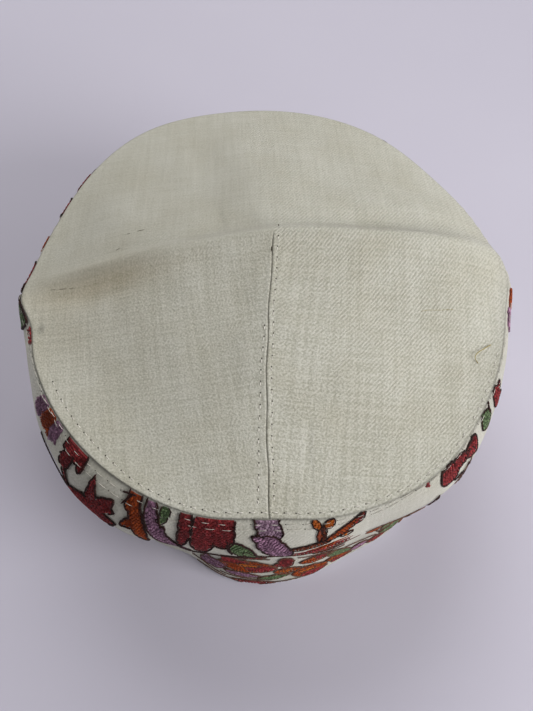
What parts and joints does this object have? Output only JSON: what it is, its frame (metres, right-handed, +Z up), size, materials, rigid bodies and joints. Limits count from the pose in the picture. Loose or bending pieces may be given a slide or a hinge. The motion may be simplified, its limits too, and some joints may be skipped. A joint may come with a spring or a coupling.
{
  "type": "kashmiri cap",
  "caption": "Soft off-white wool cap with a folded peaked top, a dart seam down to the front rim and an upright band embroidered all round with flowers and leaves.",
  "frame": {"origin": "middle of the cap's outline in plan, on the plane of the hem that it stands on", "axes": "+Z up to the peak, +X along the ridge to the right as the picture shows it, -Y to the dart seam in front"},
  "size_m": [0.2018, 0.2014, 0.1169],
  "materials": {
    "off_white_twill": "matt off-white wool twill, slightly greenish, sewn with off-white thread",
    "embroidered_twill": "off-white wool twill worked with chain stitch in crimson, rust orange, lilac, leaf green and dark brown wool thread"
  },
  "bodies": {
    "root": {"crown_top": "off_white_twill", "side_band": "embroidered_twill"}
  },
  "joints": []
}
